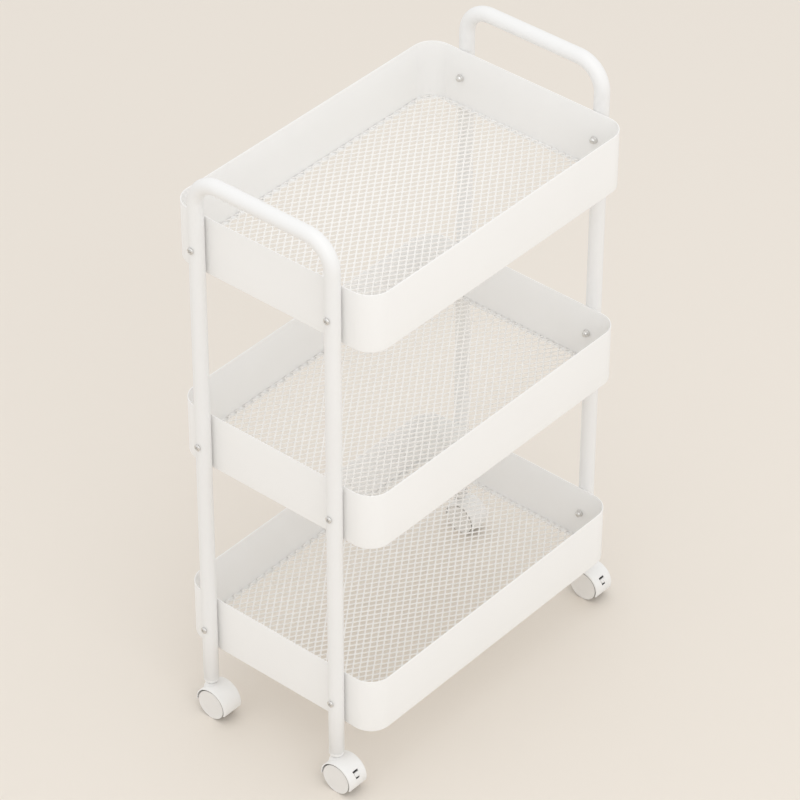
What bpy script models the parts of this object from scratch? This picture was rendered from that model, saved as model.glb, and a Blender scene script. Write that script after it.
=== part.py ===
"""Three-tier rolling utility cart.

+X runs to the right along the trays, -Y is the front (a long side) and +Z is up. The origin is on the
floor under the middle of the cart. The two braked castors are the front ones.
"""

import math

import bmesh
import bpy
from mathutils import Matrix, Vector

MM = 0.001
CART = "rolling_utility_cart"

# Trays: a sheet-metal band with an inward flange, and an expanded-metal floor lying on the flange.
TRAY_LENGTH = 450 * MM
TRAY_WIDTH = 300 * MM
BAND_HEIGHT = 78 * MM
SHEET = 1.2 * MM
CORNER_RADIUS = 28 * MM
CORNER_STEPS = 6
FLANGE_WIDTH = 5 * MM
FLOOR_THICKNESS = 0.8 * MM
FIT_GAP = 0.4 * MM
CLEAR = 5 * MM  # how far a cutter runs past the face that it cuts
TOP_RIM = 726 * MM
TIER_PITCH = 278.5 * MM
TIERS = ("top", "middle", "bottom")

# Frames: one bent tube at each short end.
TUBE_RADIUS = 9.5 * MM
TUBE_WALL = 1.2 * MM
TUBE_SIDES = 16
BORE_SIDES = 12
BEND_RADIUS = 35 * MM
BEND_STEPS = 6
FRAME_TOP = 792 * MM
LEG_END = 51 * MM
LEG_Y = 101 * MM
LEG_TO_BAND = 0.5 * MM
LEG_X = TRAY_LENGTH / 2 + LEG_TO_BAND + TUBE_RADIUS

# Tray fixings: a pan-head screw through the leg and the band, and a domed nut inside.
SCREW_DROP = 38.5 * MM
SCREW_HOLE_RADIUS = 2.8 * MM
SHANK_RADIUS = 2.4 * MM
SHANK_LENGTH = 26 * MM
HEAD_RADIUS = 4.5 * MM
HEAD_HEIGHT = 2.6 * MM
HEAD_LIFT = 0.3 * MM
RECESS_LENGTH = 4.8 * MM
RECESS_WIDTH = 1.1 * MM
RECESS_DEPTH = 1.3 * MM
NUT_RADIUS = 5 * MM
NUT_HEIGHT = 6 * MM
NUT_BORE_RADIUS = 2.75 * MM
FIXING_STEPS = 12

# Castors: a hooded twin wheel on a vertical stem, trailing towards the front.
WHEEL_RADIUS = 20 * MM
WHEEL_STEPS = 20
WHEEL_INNER_FACE = 4.3 * MM
WHEEL_OUTER_FACE = 14.6 * MM
TRAIL = 11 * MM
AXLE_RADIUS = 2 * MM
AXLE_HALF_LENGTH = 11.8 * MM
RUNNING_GAP = 0.06 * MM
HOOD_RADIUS = 23.2 * MM
HOOD_BORE_RADIUS = 21.7 * MM
HOOD_HALF_WIDTH = 15.2 * MM
HOOD_CHAMFER = 0.6 * MM
HOOD_STEPS = 36
HOOD_SKIRT_DROP = 4 * MM
HOOD_SKIRT_TILT = math.radians(6.6)
WEB_HALF_WIDTH = 2.2 * MM
BOSS_RADIUS = 4 * MM
BOSS_BOTTOM = 23 * MM
COLLAR_BOTTOM = 36 * MM
COLLAR_TOP = 42.2 * MM
COLLAR_FOOT_RADIUS = 8.6 * MM
COLLAR_RADIUS = 7.2 * MM
LIP_TOP = 43.5 * MM
LIP_BORE_RADIUS = 5.7 * MM
STEM_RADIUS = 2.8 * MM
STEM_FLANGE_RADIUS = 5.2 * MM
STEM_FLANGE_BOTTOM = 42.7 * MM
STEM_FLANGE_TOP = 43.7 * MM
SNAP_HEAD_RADIUS = 3.4 * MM
GRIP_RADIUS = 3.9 * MM
STEM_TOP = 69 * MM
STEM_STEPS = 16
PLUG_FOOT = 44.1 * MM
PLUG_TOP = 73 * MM

# Brake pedal: a ribbed tab, narrower at its foot, in a window of the hood, on two arms that pivot inside it.
# Angles are about the axle, from the horizontal front side upwards.
PEDAL_ANGLE = math.radians(28)
PEDAL_RADIUS = 23 * MM
PEDAL_THICKNESS = 2 * MM
PEDAL_HALF_WIDTH = 3.3 * MM
PEDAL_TAPER = 0.4 * MM
PEDAL_HEIGHT = 5.4 * MM
RIB_HEIGHT = 0.5 * MM
RIB_WIDTH = 0.9 * MM
RIB_PITCH = 1.7 * MM
WINDOW_HALF_WIDTH = 3.7 * MM
WINDOW_TAPER = 0.9 * MM
WINDOW_HEIGHT = 10.8 * MM
WINDOW_DEPTH = 8 * MM
WINDOW_FLOOR_RADIUS = 19 * MM
PIVOT_ANGLE = math.radians(60)
PIVOT_RADIUS = 16 * MM
PIN_RADIUS = 1.2 * MM
PIN_HALF_LENGTH = 4 * MM
ARM_INNER_FACE = 2.5 * MM
ARM_OUTER_FACE = 3.3 * MM
ARM_HALF_HEIGHT = 1.6 * MM
ARM_END_RADIUS = 2.5 * MM

SMOOTH_ANGLE = math.radians(35)
WELD = 1e-6


# ---------------------------------------------------------------- scene, materials, mesh helpers


def clear_scene():
    for obj in list(bpy.data.objects):
        bpy.data.objects.remove(obj, do_unlink=True)


def collection_named(name):
    made = bpy.data.collections.new(name)
    bpy.context.scene.collection.children.link(made)
    return made


def material_named(name, color, roughness, metallic):
    made = bpy.data.materials.new(name)
    made.use_nodes = True
    shader = made.node_tree.nodes["Principled BSDF"]
    shader.inputs["Base Color"].default_value = (*color, 1)
    shader.inputs["Roughness"].default_value = roughness
    shader.inputs["Metallic"].default_value = metallic
    return made


def baked(obj):
    """The evaluated mesh of a working object in world space, welded and facing out. The object is removed."""
    bpy.context.view_layer.update()
    graph = bpy.context.evaluated_depsgraph_get()
    mesh = bpy.data.meshes.new_from_object(obj.evaluated_get(graph))
    mesh.transform(obj.matrix_world)
    bpy.data.objects.remove(obj, do_unlink=True)
    work = bmesh.new()
    work.from_mesh(mesh)
    bmesh.ops.remove_doubles(work, verts=work.verts, dist=WELD)
    bmesh.ops.recalc_face_normals(work, faces=work.faces)
    work.to_mesh(mesh)
    work.free()
    return mesh


def working_object(data, matrix=None):
    obj = bpy.data.objects.new("work", data)
    workshop.objects.link(obj)
    obj.matrix_world = matrix or Matrix()
    return obj


def joined(mesh, other, operation):
    """Boolean UNION or DIFFERENCE of two closed meshes."""
    base = working_object(mesh)
    tool = working_object(other)
    tool.hide_render = True
    tool.display_type = "WIRE"
    modifier = base.modifiers.new("boolean", "BOOLEAN")
    modifier.operation = operation
    modifier.solver = "EXACT"
    modifier.object = tool
    result = baked(base)
    bpy.data.objects.remove(tool, do_unlink=True)
    return result


def union(mesh, other):
    return joined(mesh, other, "UNION")


def difference(mesh, other):
    return joined(mesh, other, "DIFFERENCE")


# ---------------------------------------------------------------- basic solids


def box(size, centre, turn=0.0, taper=0.0):
    """A box turned about X through its centre; taper widens its top and narrows its foot, on each side."""
    work = bmesh.new()
    bmesh.ops.create_cube(work, size=1)
    bmesh.ops.scale(work, vec=size, verts=work.verts)
    for vert in work.verts:
        vert.co.x += math.copysign(taper, vert.co.x * vert.co.z)
    work.transform(Matrix.Translation(centre) @ Matrix.Rotation(turn, 4, "X"))
    mesh = bpy.data.meshes.new("box")
    work.to_mesh(mesh)
    work.free()
    return mesh


def rod(axis, low, high, radius, centre=(0, 0), sides=12, top_radius=None):
    """A cylinder or cone along X or Z from low to high; centre is its place in the other two axes."""
    work = bmesh.new()
    end_radius = radius if top_radius is None else top_radius
    bmesh.ops.create_cone(
        work, cap_ends=True, segments=sides, radius1=radius, radius2=end_radius, depth=high - low
    )
    middle = (low + high) / 2
    if axis == "X":
        place = Matrix.Translation((middle, *centre)) @ Matrix.Rotation(math.pi / 2, 4, "Y")
    else:
        place = Matrix.Translation((*centre, middle))
    work.transform(place)
    mesh = bpy.data.meshes.new("rod")
    work.to_mesh(mesh)
    work.free()
    return mesh


def turned(profile, steps, axis="Z", centre=(0, 0), closed=False):
    """A profile of (along, radius) points turned about X or Z; centre is the axis's place beside that."""
    work = bmesh.new()
    verts = [work.verts.new((radius, 0, along)) for along, radius in profile]
    pairs = list(zip(verts, verts[1:]))
    if closed:
        pairs.append((verts[-1], verts[0]))
    for pair in pairs:
        work.edges.new(pair)
    outline = bpy.data.meshes.new("profile")
    work.to_mesh(outline)
    work.free()
    half_step = Matrix.Rotation(math.pi / steps, 4, "Z")
    if axis == "X":
        place = Matrix.Translation((0, *centre)) @ Matrix.Rotation(math.pi / 2, 4, "Y") @ half_step
    else:
        place = Matrix.Translation((*centre, 0)) @ half_step
    obj = working_object(outline, place)
    screw = obj.modifiers.new("turn", "SCREW")
    screw.axis = "Z"
    screw.steps = steps
    screw.render_steps = steps
    screw.use_merge_vertices = True
    screw.merge_threshold = WELD
    return baked(obj)


def rounded_rectangle(half_length, half_width, radius):
    """Points round a rectangle with arc corners, anticlockwise from the +X, +Y corner."""
    points = []
    corners = ((1, 1), (-1, 1), (-1, -1), (1, -1))
    for quarter, (side_x, side_y) in enumerate(corners):
        centre = Vector((side_x * (half_length - radius), side_y * (half_width - radius)))
        for step in range(CORNER_STEPS + 1):
            angle = math.pi / 2 * (quarter + step / CORNER_STEPS)
            points.append(centre + radius * Vector((math.cos(angle), math.sin(angle))))
    return points


def circumscribed(radius, sides):
    """The corner radius of a polygon whose flats lie at the given radius."""
    return radius / math.cos(math.pi / sides)


# ---------------------------------------------------------------- frame


def frame_path():
    """Centre line of the bent tube in the YZ plane, from the front leg's end to the rear leg's."""
    bend_centre_y = LEG_Y - BEND_RADIUS
    bend_centre_z = FRAME_TOP - TUBE_RADIUS - BEND_RADIUS
    half = []
    for step in range(BEND_STEPS + 1):
        angle = math.pi / 2 * step / BEND_STEPS
        y = bend_centre_y + BEND_RADIUS * math.cos(angle)
        z = bend_centre_z + BEND_RADIUS * math.sin(angle)
        half.append((y, z))
    front = [(-y, z) for y, z in half]
    return [(-LEG_Y, LEG_END)] + front + half[::-1] + [(LEG_Y, LEG_END)]


def swept_tube(path, radius, sides, extend):
    """A round bar along a path in the YZ plane, its ends run out by extend."""
    curve = bpy.data.curves.new("path", "CURVE")
    curve.dimensions = "3D"
    curve.bevel_depth = radius
    curve.bevel_resolution = (sides - 4) // 2
    curve.use_fill_caps = True
    spline = curve.splines.new("POLY")
    spline.points.add(len(path) - 1)
    for number, (y, z) in enumerate(path):
        at_end = number in (0, len(path) - 1)
        spline.points[number].co = (0, y, z - extend * at_end, 1)
    return baked(working_object(curve))


def frame_mesh():
    path = frame_path()
    tube = swept_tube(path, TUBE_RADIUS, TUBE_SIDES, 0)
    bore = swept_tube(path, TUBE_RADIUS - TUBE_WALL, BORE_SIDES, CLEAR)
    tube = difference(tube, bore)
    for tier in range(len(TIERS)):
        for side_y in (-1, 1):
            centre = (side_y * LEG_Y, fixing_height(tier))
            hole = rod("X", -2 * TUBE_RADIUS, 2 * TUBE_RADIUS, SCREW_HOLE_RADIUS, centre)
            tube = difference(tube, hole)
    return tube


# ---------------------------------------------------------------- trays


def rim_height(tier):
    return TOP_RIM - tier * TIER_PITCH


def fixing_height(tier):
    return rim_height(tier) - SCREW_DROP


def band_mesh():
    """The band with its top rim at Z = 0, folded from one surface that Solidify thickens inwards."""
    work = bmesh.new()
    outline = rounded_rectangle(TRAY_LENGTH / 2, TRAY_WIDTH / 2, CORNER_RADIUS)
    rim = [work.verts.new((*point, 0)) for point in outline]
    edges = [work.edges.new((vert, rim[number - 1])) for number, vert in enumerate(rim)]
    wall = bmesh.ops.extrude_edge_only(work, edges=edges)["geom"]
    foot = [item for item in wall if isinstance(item, bmesh.types.BMVert)]
    bmesh.ops.translate(work, verts=foot, vec=(0, 0, -BAND_HEIGHT))
    foot_edges = [item for item in wall if isinstance(item, bmesh.types.BMEdge)]
    lowest = [edge for edge in foot_edges if all(vert in foot for vert in edge.verts)]
    flange = bmesh.ops.extrude_edge_only(work, edges=lowest)["geom"]
    for item in flange:
        if isinstance(item, bmesh.types.BMVert):
            inward = corner_centre(item.co) - item.co
            inward.z = 0
            item.co += inward.normalized() * FLANGE_WIDTH
    bmesh.ops.recalc_face_normals(work, faces=work.faces)
    surface = bpy.data.meshes.new("band")
    work.to_mesh(surface)
    work.free()
    sheet = working_object(surface)
    solidify = sheet.modifiers.new("sheet", "SOLIDIFY")
    solidify.thickness = SHEET
    solidify.offset = -1
    solidify.use_even_offset = True
    band = baked(sheet)
    for side_y in (-1, 1):
        centre = (side_y * LEG_Y, -SCREW_DROP)
        hole = rod("X", -TRAY_LENGTH, TRAY_LENGTH, SCREW_HOLE_RADIUS, centre)
        band = difference(band, hole)
    return band


def corner_centre(point):
    """The nearest point of the rectangle through the corner arcs' centres: straight inwards from a wall."""
    half_length = TRAY_LENGTH / 2 - CORNER_RADIUS
    half_width = TRAY_WIDTH / 2 - CORNER_RADIUS
    x = min(max(point.x, -half_length), half_length)
    y = min(max(point.y, -half_width), half_width)
    return Vector((x, y, point.z))


def tray_floor_mesh():
    """The expanded-metal floor as a plain plate, centred on Z = 0."""
    inset = SHEET + FIT_GAP
    curve = bpy.data.curves.new("floor", "CURVE")
    curve.dimensions = "2D"
    curve.fill_mode = "BOTH"
    curve.extrude = FLOOR_THICKNESS / 2
    outline = rounded_rectangle(
        TRAY_LENGTH / 2 - inset, TRAY_WIDTH / 2 - inset, CORNER_RADIUS - inset
    )
    spline = curve.splines.new("POLY")
    spline.points.add(len(outline) - 1)
    for point, place in zip(spline.points, outline):
        point.co = (*place, 0, 1)
    spline.use_cyclic_u = True
    return baked(working_object(curve))


# ---------------------------------------------------------------- tray fixings


def screw_mesh():
    """Cross-recess pan-head screw along X: the head's underside at X = 0, the head towards +X."""
    profile = (
        (-SHANK_LENGTH, 0),
        (-SHANK_LENGTH, SHANK_RADIUS),
        (0, SHANK_RADIUS),
        (0, HEAD_RADIUS),
        (0.55 * HEAD_HEIGHT, HEAD_RADIUS),
        (HEAD_HEIGHT, 0.66 * HEAD_RADIUS),
        (HEAD_HEIGHT, 0),
    )
    mesh = turned(profile, FIXING_STEPS, "X")
    centre = (HEAD_HEIGHT, 0, 0)
    for size in ((RECESS_LENGTH, RECESS_WIDTH), (RECESS_WIDTH, RECESS_LENGTH)):
        mesh = difference(mesh, box((2 * RECESS_DEPTH, *size), centre))
    return mesh


def nut_mesh():
    """Domed cap nut along X: its seat at X = 0, the dome towards +X."""
    profile = (
        (NUT_HEIGHT - 1.2 * MM, 0),
        (NUT_HEIGHT - 1.2 * MM, NUT_BORE_RADIUS),
        (0, NUT_BORE_RADIUS),
        (0, NUT_RADIUS),
        (0.3 * NUT_HEIGHT, NUT_RADIUS),
        (0.72 * NUT_HEIGHT, 0.8 * NUT_RADIUS),
        (NUT_HEIGHT, 0.4 * NUT_RADIUS),
        (NUT_HEIGHT, 0),
    )
    return turned(profile, FIXING_STEPS, "X")


# ---------------------------------------------------------------- castors
# Each castor is modelled about its swivel axis, with the floor at Z = 0.

AXLE_CENTRE = (-TRAIL, WHEEL_RADIUS)


def about_axle(radius, angle):
    """(Y, Z) at a radius and angle about the axle, from the horizontal front side upwards."""
    return -TRAIL - radius * math.cos(angle), WHEEL_RADIUS + radius * math.sin(angle)


def plug_mesh():
    """Plastic plug pressed into the leg; its conical foot narrows from the tube to the swivel."""
    bore = GRIP_RADIUS + FIT_GAP
    shoulder = LEG_END - 0.3 * MM
    in_tube = TUBE_RADIUS - TUBE_WALL - 0.7 * MM
    profile = (
        (STEM_TOP + FIT_GAP, 0),
        (STEM_TOP + FIT_GAP, bore),
        (PLUG_FOOT, bore),
        (PLUG_FOOT, 0.68 * TUBE_RADIUS),
        (PLUG_FOOT + 4.5 * MM, 0.985 * TUBE_RADIUS),
        (shoulder, 0.985 * TUBE_RADIUS),
        (shoulder, in_tube),
        (PLUG_TOP, in_tube),
        (PLUG_TOP, 0),
    )
    return turned(profile, STEM_STEPS)


def stem_mesh():
    """Steel stem: a thick grip end in the plug, a flange, and a journal with a snap head under the boss."""
    head_top = BOSS_BOTTOM - FIT_GAP
    profile = (
        (STEM_TOP, 0),
        (STEM_TOP, GRIP_RADIUS),
        (STEM_FLANGE_TOP, GRIP_RADIUS),
        (STEM_FLANGE_TOP, STEM_FLANGE_RADIUS),
        (STEM_FLANGE_BOTTOM, STEM_FLANGE_RADIUS),
        (STEM_FLANGE_BOTTOM, STEM_RADIUS),
        (head_top, STEM_RADIUS),
        (head_top, SNAP_HEAD_RADIUS),
        (head_top - 1 * MM, SNAP_HEAD_RADIUS),
        (head_top - 2 * MM, 0.8 * STEM_RADIUS),
        (head_top - 2 * MM, 0),
    )
    return turned(profile, STEM_STEPS)


def hood_mesh(with_brake):
    """One moulding: the barrel over both wheels, the web between them, and the stem's boss and collar."""
    shoulder = HOOD_RADIUS - HOOD_CHAMFER
    profile = (
        (-HOOD_HALF_WIDTH, 0),
        (-HOOD_HALF_WIDTH, shoulder),
        (HOOD_CHAMFER - HOOD_HALF_WIDTH, HOOD_RADIUS),
        (HOOD_HALF_WIDTH - HOOD_CHAMFER, HOOD_RADIUS),
        (HOOD_HALF_WIDTH, shoulder),
        (HOOD_HALF_WIDTH, 0),
    )
    hood = turned(profile, HOOD_STEPS, "X", AXLE_CENTRE)
    outside = HOOD_HALF_WIDTH + CLEAR
    bore = (
        (WEB_HALF_WIDTH, 0),
        (WEB_HALF_WIDTH, HOOD_BORE_RADIUS),
        (outside, HOOD_BORE_RADIUS),
        (outside, 0),
    )
    for side_x in (-1, 1):
        pocket = [(side_x * along, radius) for along, radius in bore]
        hood = difference(hood, turned(pocket, HOOD_STEPS, "X", AXLE_CENTRE))
    barrel_middle = (HOOD_RADIUS + HOOD_BORE_RADIUS) / 2
    collar = rod(
        "Z", COLLAR_BOTTOM, COLLAR_TOP, COLLAR_FOOT_RADIUS, sides=STEM_STEPS, top_radius=COLLAR_RADIUS
    )
    lip = rod("Z", COLLAR_TOP - CLEAR, LIP_TOP, COLLAR_RADIUS, sides=STEM_STEPS)
    core = rod("X", -HOOD_HALF_WIDTH, HOOD_HALF_WIDTH, barrel_middle, AXLE_CENTRE, HOOD_STEPS)
    hood = union(hood, difference(union(collar, lip), core))
    recess = rod("Z", COLLAR_TOP, LIP_TOP + CLEAR, LIP_BORE_RADIUS, sides=STEM_STEPS)
    hood = difference(hood, recess)
    boss_top = (COLLAR_BOTTOM + COLLAR_TOP) / 2
    hood = union(hood, rod("Z", BOSS_BOTTOM, boss_top, BOSS_RADIUS, sides=STEM_STEPS))
    bore_radius = circumscribed(STEM_RADIUS + RUNNING_GAP, STEM_STEPS)
    stem_bore = rod("Z", BOSS_BOTTOM - CLEAR, COLLAR_TOP + CLEAR, bore_radius, sides=STEM_STEPS)
    hood = difference(hood, stem_bore)
    head_room = rod("Z", 0, BOSS_BOTTOM, SNAP_HEAD_RADIUS + 0.6 * MM, sides=STEM_STEPS)
    hood = difference(hood, head_room)
    axle_hole = circumscribed(AXLE_RADIUS + RUNNING_GAP, FIXING_STEPS)
    hood = difference(hood, rod("X", -CLEAR, CLEAR, axle_hole, AXLE_CENTRE))
    below = HOOD_RADIUS + CLEAR
    tilt_y = below * math.sin(HOOD_SKIRT_TILT)
    tilt_z = below * math.cos(HOOD_SKIRT_TILT)
    cut_centre = (0, -TRAIL + tilt_y, WHEEL_RADIUS - HOOD_SKIRT_DROP - tilt_z)
    hood = difference(hood, box((4 * below, 4 * below, 2 * below), cut_centre, HOOD_SKIRT_TILT))
    if with_brake:
        window_radius = WINDOW_FLOOR_RADIUS + WINDOW_DEPTH / 2
        window = box(
            (2 * WINDOW_HALF_WIDTH, WINDOW_DEPTH, WINDOW_HEIGHT),
            (0, *about_axle(window_radius, PEDAL_ANGLE)),
            -PEDAL_ANGLE,
            WINDOW_TAPER,
        )
        hood = difference(hood, window)
        pin_hole = circumscribed(PIN_RADIUS + RUNNING_GAP, FIXING_STEPS)
        centre = about_axle(PIVOT_RADIUS, PIVOT_ANGLE)
        hood = difference(hood, rod("X", -CLEAR, CLEAR, pin_hole, centre))
    return hood


def axle_mesh():
    profile = (
        (-AXLE_HALF_LENGTH, 0),
        (-AXLE_HALF_LENGTH, 0.8 * AXLE_RADIUS),
        (0.4 * MM - AXLE_HALF_LENGTH, AXLE_RADIUS),
        (AXLE_HALF_LENGTH - 0.4 * MM, AXLE_RADIUS),
        (AXLE_HALF_LENGTH, 0.8 * AXLE_RADIUS),
        (AXLE_HALF_LENGTH, 0),
    )
    return turned(profile, FIXING_STEPS, "X", AXLE_CENTRE)


def wheel_mesh(side_x):
    """One of the twin wheels: a hub with a blind bore, a tread, and a disc face inside a raised ring."""
    bore = circumscribed(AXLE_RADIUS + RUNNING_GAP, FIXING_STEPS)
    tread = circumscribed(WHEEL_RADIUS, WHEEL_STEPS)
    disc_face = WHEEL_OUTER_FACE - 0.4 * MM
    profile = (
        (AXLE_HALF_LENGTH + 0.4 * MM, 0),
        (AXLE_HALF_LENGTH + 0.4 * MM, bore),
        (WEB_HALF_WIDTH + 0.5 * MM, bore),
        (WEB_HALF_WIDTH + 0.5 * MM, 4.2 * MM),
        (WHEEL_INNER_FACE, 4.2 * MM),
        (WHEEL_INNER_FACE, tread - 0.7 * MM),
        (WHEEL_INNER_FACE + 0.7 * MM, tread),
        (WHEEL_OUTER_FACE - 0.9 * MM, tread),
        (WHEEL_OUTER_FACE, tread - 0.9 * MM),
        (WHEEL_OUTER_FACE, tread - 2.0 * MM),
        (disc_face, tread - 2.4 * MM),
        (disc_face, 0),
    )
    sided = [(side_x * along, radius) for along, radius in profile]
    return turned(sided, WHEEL_STEPS, "X", AXLE_CENTRE)


def pedal_mesh():
    """Brake pedal: the ribbed tab in the hood's window, with an arm on each side of the web."""
    turn = -PEDAL_ANGLE
    tab_size = (2 * PEDAL_HALF_WIDTH, PEDAL_THICKNESS, PEDAL_HEIGHT)
    pedal = box(tab_size, (0, *about_axle(PEDAL_RADIUS, PEDAL_ANGLE)), turn, PEDAL_TAPER)
    rib_radius = PEDAL_RADIUS + PEDAL_THICKNESS / 2
    for step in (-1, 0, 1):
        angle = PEDAL_ANGLE + step * RIB_PITCH / rib_radius
        rib_size = (2 * PEDAL_HALF_WIDTH - 2 * RIB_WIDTH, 2 * RIB_HEIGHT, RIB_WIDTH)
        pedal = union(pedal, box(rib_size, (0, *about_axle(rib_radius, angle)), turn))
    pivot = Vector(about_axle(PIVOT_RADIUS, PIVOT_ANGLE))
    tab = Vector(about_axle(PEDAL_RADIUS - 0.3 * MM, PEDAL_ANGLE))
    reach = tab - pivot
    middle = (tab + pivot) / 2
    arm_turn = math.atan2(reach.y, reach.x)
    for side_x in (-1, 1):
        arm_x = side_x * (ARM_INNER_FACE + ARM_OUTER_FACE) / 2
        size = (ARM_OUTER_FACE - ARM_INNER_FACE, reach.length, 2 * ARM_HALF_HEIGHT)
        pedal = union(pedal, box(size, (arm_x, *middle), arm_turn))
        low, high = sorted((side_x * ARM_INNER_FACE, side_x * ARM_OUTER_FACE))
        pedal = union(pedal, rod("X", low, high, ARM_END_RADIUS, pivot))
    hole = circumscribed(PIN_RADIUS + RUNNING_GAP, FIXING_STEPS)
    return difference(pedal, rod("X", -PIN_HALF_LENGTH - CLEAR, PIN_HALF_LENGTH + CLEAR, hole, pivot))


def pin_mesh():
    centre = about_axle(PIVOT_RADIUS, PIVOT_ANGLE)
    return rod("X", -PIN_HALF_LENGTH, PIN_HALF_LENGTH, PIN_RADIUS, centre)


# ---------------------------------------------------------------- assembly


def add_part(name, mesh, material, location=(0, 0, 0), turn=0.0, parent=None):
    """A named part; turn is about Z. A part with a parent is placed in the parent's frame."""
    obj = bpy.data.objects.new(name, mesh)
    cart.objects.link(obj)
    obj.location = location
    obj.rotation_euler = (0, 0, turn)
    obj.parent = parent
    if not mesh.materials:
        mesh.materials.append(material)
        mesh.shade_smooth()
        mesh.set_sharp_from_angle(angle=SMOOTH_ANGLE)
    return obj


def add_frames():
    mesh = frame_mesh()
    add_part("frame_left", mesh, painted, (-LEG_X, 0, 0), math.pi)
    add_part("frame_right", mesh, painted, (LEG_X, 0, 0))


def add_trays():
    band = band_mesh()
    floor = tray_floor_mesh()
    for tier, name in enumerate(TIERS):
        rim = rim_height(tier)
        add_part(f"{name}_tray_band", band, painted, (0, 0, rim))
        floor_height = rim - BAND_HEIGHT + SHEET + FIT_GAP + FLOOR_THICKNESS / 2
        add_part(f"{name}_tray_mesh", floor, painted, (0, 0, floor_height))


def add_fixings():
    screw = screw_mesh()
    nut = nut_mesh()
    head_x = LEG_X + TUBE_RADIUS + HEAD_LIFT
    nut_x = TRAY_LENGTH / 2 - SHEET - HEAD_LIFT
    for tier, tier_name in enumerate(TIERS):
        height = fixing_height(tier)
        for corner, (side_x, side_y) in CORNERS.items():
            outward = 0 if side_x > 0 else math.pi
            name = f"{tier_name}_{corner}"
            add_part(f"screw_{name}", screw, steel, (side_x * head_x, side_y * LEG_Y, height), outward)
            add_part(
                f"nut_{name}", nut, steel, (side_x * nut_x, side_y * LEG_Y, height), outward + math.pi
            )


def add_castors():
    plug = plug_mesh()
    stem = stem_mesh()
    axle = axle_mesh()
    plain_hood = hood_mesh(False)
    braked_hood = hood_mesh(True)
    wheels = {side: wheel_mesh(side) for side in (-1, 1)}
    pedal = pedal_mesh()
    pin = pin_mesh()
    for corner, (side_x, side_y) in CORNERS.items():
        swivel = bpy.data.objects.new(f"castor_{corner}_swivel", None)
        cart.objects.link(swivel)
        swivel.location = (side_x * LEG_X, side_y * LEG_Y, 0)
        braked = side_y < 0
        pieces = {
            "plug": (plug, plastic),
            "stem": (stem, steel),
            "hood": (braked_hood if braked else plain_hood, plastic),
            "axle": (axle, steel),
            "wheel_outer": (wheels[side_x], wheel_plastic),
            "wheel_inner": (wheels[-side_x], wheel_plastic),
        }
        if braked:
            pieces["brake_pedal"] = (pedal, plastic)
            pieces["brake_pin"] = (pin, steel)
        for piece, (mesh, material) in pieces.items():
            add_part(f"castor_{corner}_{piece}", mesh, material, parent=swivel)


CORNERS = {
    "front_left": (-1, -1),
    "front_right": (1, -1),
    "rear_left": (-1, 1),
    "rear_right": (1, 1),
}

clear_scene()
cart = collection_named(CART)
workshop = collection_named("workshop")
painted = material_named("painted_steel", (0.84, 0.81, 0.77), 0.38, 0.0)
steel = material_named("bright_steel", (0.62, 0.61, 0.59), 0.25, 1.0)
plastic = material_named("castor_plastic", (0.80, 0.78, 0.74), 0.45, 0.0)
wheel_plastic = material_named("wheel_plastic", (0.72, 0.70, 0.66), 0.55, 0.0)
add_frames()
add_trays()
add_fixings()
add_castors()
bpy.context.view_layer.update()
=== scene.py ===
"""Looks of the three-tier rolling utility cart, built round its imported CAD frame.

Metres, +Z up, front at -Y.
"""

import math

import bmesh
import bpy
from mathutils import Matrix, Vector


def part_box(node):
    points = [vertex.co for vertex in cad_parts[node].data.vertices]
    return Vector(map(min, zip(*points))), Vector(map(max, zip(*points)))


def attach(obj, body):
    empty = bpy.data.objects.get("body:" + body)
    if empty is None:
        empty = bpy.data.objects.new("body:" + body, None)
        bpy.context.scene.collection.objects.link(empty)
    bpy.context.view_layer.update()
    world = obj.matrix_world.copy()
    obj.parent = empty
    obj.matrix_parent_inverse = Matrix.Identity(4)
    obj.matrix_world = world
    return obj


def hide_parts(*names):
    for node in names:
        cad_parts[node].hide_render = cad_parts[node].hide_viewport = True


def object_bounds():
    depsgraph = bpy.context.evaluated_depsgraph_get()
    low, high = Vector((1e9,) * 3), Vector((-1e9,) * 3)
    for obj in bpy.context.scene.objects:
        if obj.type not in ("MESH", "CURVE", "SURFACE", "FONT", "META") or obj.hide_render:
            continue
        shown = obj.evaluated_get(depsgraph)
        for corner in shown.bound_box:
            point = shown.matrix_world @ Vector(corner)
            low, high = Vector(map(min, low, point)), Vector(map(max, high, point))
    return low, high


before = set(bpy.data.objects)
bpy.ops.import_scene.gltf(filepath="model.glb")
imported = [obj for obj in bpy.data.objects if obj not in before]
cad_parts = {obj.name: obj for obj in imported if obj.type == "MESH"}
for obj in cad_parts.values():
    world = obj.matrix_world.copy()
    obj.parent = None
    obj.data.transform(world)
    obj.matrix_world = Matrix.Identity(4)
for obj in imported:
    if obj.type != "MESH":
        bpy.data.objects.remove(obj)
cad_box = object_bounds()

MM = 0.001

# ---------------------------------------------------------------- places and sizes, from the frame

TIERS = ("top", "middle", "bottom")
SIDES = {"left": -1, "right": 1}
CORNERS = {
    "front_left": (-1, -1),
    "front_right": (1, -1),
    "rear_left": (-1, 1),
    "rear_right": (1, 1),
}

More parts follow.
